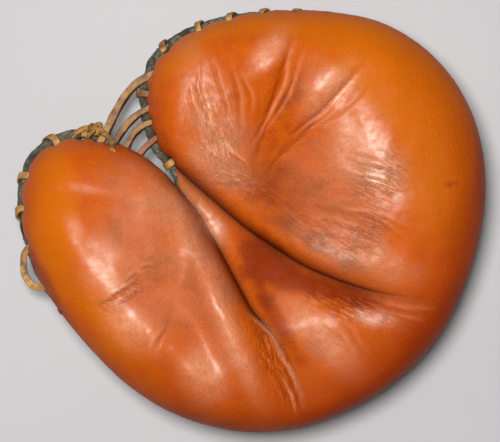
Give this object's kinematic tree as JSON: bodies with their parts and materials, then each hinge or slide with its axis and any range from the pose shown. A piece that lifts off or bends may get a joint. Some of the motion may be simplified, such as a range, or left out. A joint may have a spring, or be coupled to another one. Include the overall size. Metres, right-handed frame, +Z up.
{
  "type": "catcher mitt",
  "caption": "Old padded leather catcher's mitt for the left hand, lying palm up, with a laced edge and a lace web between thumb and fingers.",
  "frame": {"origin": "on the floor under the middle of the mitt's bounding box", "axes": "+Z up out of the palm, away from the back that rests on the floor; +Y towards the finger tips; +X away from the thumb"},
  "size_m": [0.2904, 0.2622, 0.083],
  "materials": {
    "palm_leather": "worn, oiled",
    "back_leather": "worn",
    "welt_leather": "matt",
    "rawhide": "smooth",
    "stud_metal": "dull"
  },
  "bodies": {
    "root": {"palm": "palm_leather", "back": "back_leather", "welt": "welt_leather", "finger_lace": "rawhide", "thumb_lace": "rawhide", "edge_stitch_1": "rawhide", "edge_stitch_2": "rawhide", "web_lace_1": "rawhide", "web_lace_2": "rawhide", "web_lace_3": "rawhide", "web_lace_4": "rawhide", "wrist_strap": "back_leather", "stud_left": "stud_metal", "stud_right": "stud_metal"}
  },
  "joints": []
}
